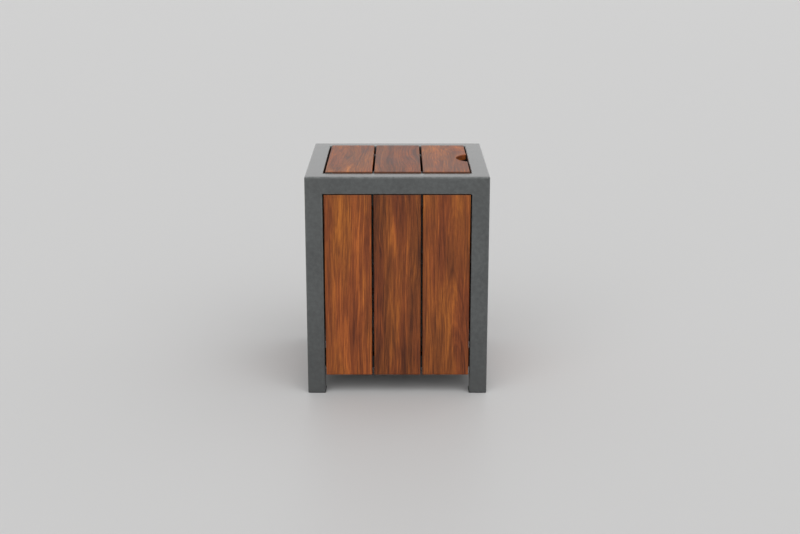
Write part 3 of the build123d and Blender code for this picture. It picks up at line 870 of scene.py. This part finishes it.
def cut_rebate(bm, corner, inner):
    """Takes the box between a board's lower end corner and a point inside it out of the board."""
    for axis in range(3):
        slice_at(bm, inner, unit(axis))
    low = Vector(map(min, corner, inner))
    high = Vector(map(max, corner, inner))

    def is_inside(face):
        centre = face.calc_center_median()
        return all(low[k] - SAME < centre[k] < high[k] + SAME for k in range(3))

    bmesh.ops.delete(bm, geom=[f for f in bm.faces if is_inside(f)], context="FACES")
    patches = []
    for v in dict.fromkeys(v for e in open_edges(bm) for v in e.verts):
        shared = sum(abs(v.co[k] - inner[k]) < SAME for k in range(3))
        near = [e.other_vert(v) for e in v.link_edges if e.is_boundary]
        if shared == 1:
            patches.append((near[0], v, near[1]))
    deep = bm.verts.new(inner)
    for before, v, after in patches:
        bm.faces.new((before, v, after, deep))


def notched_plan(low, high, radius, depth):
    """Flat outline of the right board at its underside, with the arc of the finger notch."""
    bm = bmesh.new()
    centre = Vector((high.x + radius - depth, 0.0, low.z))
    half = math.acos((radius - depth) / radius)
    start = bm.verts.new(centre + Vector((-math.cos(half), math.sin(half), 0.0)) * radius)
    bmesh.ops.spin(bm, geom=[start], cent=centre, axis=UP, angle=2 * half, steps=NOTCH_STEPS)
    arc = sorted(bm.verts, key=lambda v: v.co.y)
    outline = [(high.x, high.y), (low.x, high.y), (low.x, low.y), (high.x, low.y)]
    corners = [bm.verts.new((x, y, low.z)) for x, y in outline]
    bm.faces.new(arc + corners)
    return bm


def rebated_board(low, high, directions):
    """Left board of the lid, with a rebate at each end for a pivot's bracket."""
    bm = block(low, high)
    slice_board(bm, low, high, directions, 0.0)
    fit = sizes().rebate_fit
    for end in ENDS:
        _, ear_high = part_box("pivot_bracket_" + end)
        pin_low, pin_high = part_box("pivot_pin_" + end)
        sign = math.copysign(1.0, pin_low.y)
        face = high.y if sign > 0 else low.y
        back = (pin_low.y if sign > 0 else pin_high.y) - sign * fit
        cut_rebate(bm, Vector((low.x, face, low.z)), Vector((ear_high.x + fit, back, ear_high.z + fit)))
    return bm


def notched_board(low, high, directions):
    """Right board of the lid, with the finger notch and its eased rim."""
    reach = sizes().notch_radius
    bm = notched_plan(low, high, reach, sizes().notch_depth)
    drawn_out(bm, bm.faces[:], UP * (high.z - low.z), keep=True)
    slice_board(bm, low, high, directions, reach)
    face_outwards(bm)

    def is_rim(edge):
        at_notch = all(abs(v.co.z - high.z) < SAME and abs(v.co.y) < reach for v in edge.verts)
        is_sharp = edge.calc_face_angle_signed(0.0) > NOTCH_TURN
        return at_notch and is_sharp and not on_outer_edge(edge, low, high)

    rounded(bm, [e for e in bm.edges if is_rim(e)], sizes().notch_edge, EDGE_STEPS)
    return bm


class LITTERBIN_OT_lid_boards(bpy.types.Operator):
    """Three boards of the lid, the left one rebated for the pivots, the right one with a finger notch"""

    bl_idname = "litter_bin.lid_boards"
    bl_label = "Lid Boards"

    def execute(self, context):
        directions = (unit(0), -UP, unit(1))
        for number in NUMBERS:
            name = "lid_board_" + str(number)
            low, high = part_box(name)
            if number == 1:
                bm = rebated_board(low, high, directions)
            elif number == 3:
                bm = notched_board(low, high, directions)
            else:
                bm = block(low, high)
                slice_board(bm, low, high, directions)
            seed = FIRST_LID_SEED + number
            finish_board(bm, name, "lid", "lid_boards", low, high, directions, seed, LID_TONES[number - 1])
        return {"FINISHED"}


# ---- Weld beads ----


def lay_bead(bm, start, end, radius):
    """Rippled bead of weld along a straight line."""
    run = end - start
    steps = max(LEAST_RIPPLES, round(run.length / sizes().bead_ripple))
    place = Matrix.Translation(start) @ run.to_track_quat("Z", "Y").to_matrix().to_4x4()
    bead_end = radius * BEAD_END
    ring = bmesh.ops.create_circle(bm, cap_ends=True, segments=BEAD_STEPS, radius=bead_end, matrix=place)
    face = ring["verts"][0].link_faces[0]
    for step in range(1, steps + 1):
        face = drawn_out(bm, [face], run / steps, keep=step == 1)[0]
        middle = face.calc_center_median()
        width = bead_end if step == steps else radius * (1.0 if step % 2 else BEAD_DIP)
        for v in face.verts:
            v.co = middle + (v.co - middle).normalized() * width


class LITTERBIN_OT_weld_beads(bpy.types.Operator):
    """Weld beads where the slat rails, bearers and lid rests meet the frame"""

    bl_idname = "litter_bin.weld_beads"
    bl_label = "Weld Beads"

    def execute(self, context):
        bm = bmesh.new()
        radius = sizes().bead_radius
        clear = sizes().bead_margin
        for side in SIDES:
            across, inward = facing(side)
            for level in LEVELS:
                low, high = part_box("slat_rail_" + side + "_" + level)
                half = abs((high - low).dot(across)) / 2
                back = abs((high - low).dot(inward)) / 2
                for sign in (-1, 1):
                    base = ((low + high) / 2 + across * (sign * half) + inward * back).xy.to_3d()
                    lay_bead(bm, base + UP * (low.z + clear), base + UP * (high.z - clear), radius)
        for end in ENDS:
            low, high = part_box("base_bearer_" + end)
            for x in (low.x, high.x):
                start = Vector((x, low.y + clear, high.z - clear))
                lay_bead(bm, start, Vector((x, high.y - clear, high.z - clear)), radius)
            low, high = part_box("lid_rest_" + end)
            for y in (low.y, high.y):
                start = Vector((high.x, y, low.z + clear))
                lay_bead(bm, start, Vector((high.x, y, high.z - clear)), radius)
        piece(bm, "weld_beads", "frame", "inner_coating")
        return {"FINISHED"}


# ---- Liner ----


def rounded_square(half, radius, level):
    """Flat face of a square with rounded corners."""
    bm = bmesh.new()
    bmesh.ops.create_grid(bm, x_segments=1, y_segments=1, size=half)
    rounded(bm, bm.verts[:], radius, LINER_CORNER_STEPS, affect="VERTICES", clamp=False)
    bmesh.ops.translate(bm, vec=UP * level, verts=bm.verts[:])
    return bm


def grow_wall(bm, edges, half, radius, outset, level):
    """Draws the open edge of a sheet to a new level and a new distance outwards."""
    grown = bmesh.ops.extrude_edge_only(bm, edges=edges)["geom"]
    for v in points_of(grown):
        corner = Vector([math.copysign(half - radius, v.co[k]) for k in (0, 1)])
        v.co.xy = corner + (v.co.xy - corner).normalized() * (radius + outset)
        v.co.z = level
    return [g for g in grown if isinstance(g, bmesh.types.BMEdge)]


def wall_profile(low, high):
    """Each fold of the liner's wall from the floor up: how far out and at what level."""
    s = sizes()
    folds = []
    for share in RIB_STARTS:
        start = low + (high - low) * share
        flank = s.rib_height * RIB_FLANK
        folds += [
            (0.0, start),
            (s.rib_depth, start + flank),
            (s.rib_depth, start + s.rib_height - flank),
            (0.0, start + s.rib_height),
        ]
    rim = s.liner_rim - s.sheet
    return folds + [(0.0, high - s.sheet), (rim, high - s.sheet), (rim, high - s.liner_lip)]


def drill_drains(bm, half, level, radius):
    """Four round holes in the flat floor at one level."""

    def floor_faces():
        return [f for f in bm.faces if abs(f.calc_center_median().z - level) < NEARLY]

    spread = half * DRAIN_SPREAD
    patch = radius * DRAIN_PATCH
    for reach in (spread - patch, spread + patch):
        for sign in (-1, 1):
            for axis in (0, 1):
                flat = floor_faces()
                near = list(dict.fromkeys(part for f in flat for part in (*f.edges, *f.verts)))
                across = unit(axis)
                bmesh.ops.bisect_plane(
                    bm, geom=flat + near, dist=CUT, plane_co=across * sign * reach, plane_no=across
                )
    for spot in [Vector((sx * spread, sy * spread, level)) for sx in (-1, 1) for sy in (-1, 1)]:
        cell = min(floor_faces(), key=lambda f: (f.calc_center_median() - spot).length)
        rim = cell.edges[:]
        bmesh.ops.delete(bm, geom=[cell], context="FACES_ONLY")
        place = Matrix.Translation(spot)
        ring = bmesh.ops.create_circle(bm, segments=DRAIN_STEPS, radius=radius, matrix=place)["verts"]
        bmesh.ops.bridge_loops(bm, edges=rim + loop_of(ring))


class LITTERBIN_OT_liner(bpy.types.Operator):
    """Galvanised liner of folded sheet with swaged ribs, a folded rim and drain holes"""

    bl_idname = "litter_bin.liner"
    bl_label = "Liner"

    def execute(self, context):
        low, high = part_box("liner")
        half = high.x - sizes().liner_rim
        radius = sizes().liner_corner
        bm = rounded_square(half, radius, low.z)
        rim = bm.edges[:]
        folds = list(rim)
        for outset, level in wall_profile(low.z, high.z):
            rim = grow_wall(bm, rim, half, radius, outset, level)
            folds += rim
        folds = [e for e in folds if len(e.link_faces) == 2]
        face_outwards(bm)
        bent = [e for e in folds if abs(e.calc_face_angle(0.0)) > FOLD_TURN]
        rounded(bm, bent, sizes().liner_fold, FOLD_STEPS)
        bm.normal_update()
        drill_drains(bm, half, low.z, sizes().drain_radius)
        made = piece(bm, "liner_sheet", "liner", "galvanised", ["liner"])
        wall = made.modifiers.new("Sheet", "SOLIDIFY")
        wall.thickness = sizes().sheet
        wall.offset = -1.0
        wall.use_even_offset = True
        even_normals(made)
        return {"FINISHED"}


class LITTERBIN_OT_liner_fittings(bpy.types.Operator):
    """Finishes of the liner's saddles, rivets and wire handles"""

    bl_idname = "litter_bin.liner_fittings"
    bl_label = "Liner Fittings"

    def execute(self, context):
        coat(["liner_saddles"], "saddle_steel")
        coat(["liner_rivets"], "rivet_aluminium")
        coat(["liner_handle_left", "liner_handle_right"], "handle_steel")
        return {"FINISHED"}


# ---- Parts that stay as the frame gives them ----


class LITTERBIN_OT_feet(bpy.types.Operator):
    """Finishes of the glides and of the plates inside the legs"""

    bl_idname = "litter_bin.feet"
    bl_label = "Feet"

    def execute(self, context):
        coat(["foot_glide_" + corner for corner in CORNERS], "glide_plastic")
        coat(["foot_plates"], "inner_coating")
        return {"FINISHED"}


class LITTERBIN_OT_inner_steel(bpy.types.Operator):
    """Finishes of the slat rails, base, liner stops and lid rests"""

    bl_idname = "litter_bin.inner_steel"
    bl_label = "Inner Steelwork"

    def execute(self, context):
        coat(["slat_rail_" + side + "_" + level for side in SIDES for level in LEVELS], "inner_coating")
        coat(["base_bearer_" + end for end in ENDS], "inner_coating")
        coat(["lid_rest_" + end for end in ENDS], "inner_coating")
        coat(["base_tray", "liner_stops"], "inner_coating")
        coat(["lid_buffers"], "buffer_rubber")
        return {"FINISHED"}


class LITTERBIN_OT_lid_hardware(bpy.types.Operator):
    """Finishes of the bars under the lid and of its pivots"""

    bl_idname = "litter_bin.lid_hardware"
    bl_label = "Lid Hardware"

    def execute(self, context):
        coat(["lid_bar_" + end for end in ENDS], "lid_steel")
        coat(["pivot_bracket_" + end for end in ENDS], "lid_steel")
        coat(["pivot_pin_" + end for end in ENDS], "pin_steel")
        coat(["pivot_bush_" + end for end in ENDS], "bush_plastic")
        return {"FINISHED"}


class LITTERBIN_OT_fasteners(bpy.types.Operator):
    """Finishes of the screws and bolts"""

    bl_idname = "litter_bin.fasteners"
    bl_label = "Fasteners"

    def execute(self, context):
        coat(["board_screws", "lid_screws", "tray_bolts"], "screw_steel")
        return {"FINISHED"}


# ---- Stage ----


def studio_floor():
    """Plain pale floor."""
    bm = bmesh.new()
    bmesh.ops.create_grid(bm, x_segments=FLOOR_STEPS, y_segments=FLOOR_STEPS, size=sizes().floor_reach)
    shade = tuple(colours().floor)
    satin = Finish("studio floor").finish(base_color=shade, roughness=0.5, specular_ior_level=0.5)
    floor = put("floor", mesh_of(bm, "floor", satin))


def studio_world():
    """Plain light from all round, with the backdrop's colour where it is seen or mirrored."""
    world = bpy.data.worlds.new("Studio")
    kit = Nodes(world)
    strength = bpy.context.scene.litter_bin_studio.ambient
    light = kit.node("ShaderNodeBackground", {"Color": (1.0, 1.0, 1.0), "Strength": strength})
    seen = kit.node("ShaderNodeBackground", {"Color": tuple(colours().backdrop)})
    rays = kit.node("ShaderNodeLightPath").outputs
    plain = kit.sum("MAXIMUM", rays["Is Camera Ray"], rays["Is Glossy Ray"])
    plain = kit.sum("MAXIMUM", plain, rays["Is Transmission Ray"])
    mix = kit.node("ShaderNodeMixShader", {0: plain, 1: light.outputs[0], 2: seen.outputs[0]})
    kit.node("ShaderNodeOutputWorld", {"Surface": mix.outputs[0]})
    bpy.context.scene.world = world


def studio_camera():
    """Camera in front of the bin, looking a little down."""
    studio = bpy.context.scene.litter_bin_studio
    data = bpy.data.cameras.new("Camera")
    data.lens = studio.camera_lens
    data.sensor_width = SENSOR_WIDTH
    camera = put("Camera", data)
    camera.location = studio.camera_place
    camera.rotation_euler = (math.radians(90.0) - studio.camera_pitch, 0.0, 0.0)
    bpy.context.scene.camera = camera


def soft_lamp(name, strength, turn):
    """Broad soft lamp, so many degrees round from the right towards the front."""
    studio = bpy.context.scene.litter_bin_studio
    turn = math.radians(turn)
    data = bpy.data.lights.new(name, "SUN")
    data.energy = strength
    data.angle = studio.lamp_softness
    lamp = put(name, data)
    flat = math.cos(studio.lamp_height)
    source = Vector((flat * math.cos(turn), -flat * math.sin(turn), math.sin(studio.lamp_height)))
    lamp.rotation_euler = source.to_track_quat("Z", "Y").to_euler()


class LITTERBIN_OT_stage(bpy.types.Operator):
    """Floor, soft light, backdrop and camera"""

    bl_idname = "litter_bin.stage"
    bl_label = "Stage"

    def execute(self, context):
        studio = context.scene.litter_bin_studio
        studio_floor()
        studio_world()
        soft_lamp("Front lamp", studio.front_lamp, 90.0)
        soft_lamp("Side lamp", studio.side_lamp, 0.0)
        soft_lamp("Rear lamp", studio.rear_lamp, 270.0)
        studio_camera()
        context.scene.view_settings.view_transform = "Standard"
        return {"FINISHED"}


class LITTERBIN_PT_panel(bpy.types.Panel):
    """Sidebar panel with the bin's sizes, colours and pieces"""

    bl_idname = "LITTERBIN_PT_panel"
    bl_label = "Litter Bin"
    bl_space_type = "VIEW_3D"
    bl_region_type = "UI"
    bl_category = "Litter Bin"

    def draw(self, context):
        for group in ("litter_bin_sizes", "litter_bin_colours", "litter_bin_studio"):
            box = self.layout.box()
            settings = getattr(context.scene, group)
            for key in settings.bl_rna.properties.keys():
                if key not in ("rna_type", "name"):
                    box.prop(settings, key)
        for operator in OPERATORS:
            self.layout.operator(operator.bl_idname)


OPERATORS = (
    LITTERBIN_OT_frame,
    LITTERBIN_OT_side_boards,
    LITTERBIN_OT_lid_boards,
    LITTERBIN_OT_weld_beads,
    LITTERBIN_OT_liner,
    LITTERBIN_OT_liner_fittings,
    LITTERBIN_OT_feet,
    LITTERBIN_OT_inner_steel,
    LITTERBIN_OT_lid_hardware,
    LITTERBIN_OT_fasteners,
    LITTERBIN_OT_stage,
)
CLASSES = (LitterBinSizes, LitterBinColours, LitterBinStudio, *OPERATORS, LITTERBIN_PT_panel)


def register():
    """Adds the add-on's classes and its settings to the scene."""
    for item in CLASSES:
        bpy.utils.register_class(item)
    bpy.types.Scene.litter_bin_sizes = PointerProperty(type=LitterBinSizes)
    bpy.types.Scene.litter_bin_colours = PointerProperty(type=LitterBinColours)
    bpy.types.Scene.litter_bin_studio = PointerProperty(type=LitterBinStudio)


def unregister():
    """Takes them away again."""
    del bpy.types.Scene.litter_bin_studio
    del bpy.types.Scene.litter_bin_colours
    del bpy.types.Scene.litter_bin_sizes
    for item in reversed(CLASSES):
        bpy.utils.unregister_class(item)


def main():
    """Makes every piece in order."""
    register()
    bpy.ops.litter_bin.frame()
    bpy.ops.litter_bin.side_boards()
    bpy.ops.litter_bin.lid_boards()
    bpy.ops.litter_bin.weld_beads()
    bpy.ops.litter_bin.liner()
    bpy.ops.litter_bin.liner_fittings()
    bpy.ops.litter_bin.feet()
    bpy.ops.litter_bin.inner_steel()
    bpy.ops.litter_bin.lid_hardware()
    bpy.ops.litter_bin.fasteners()
    bpy.ops.litter_bin.stage()


if __name__ == "__main__":
    main()
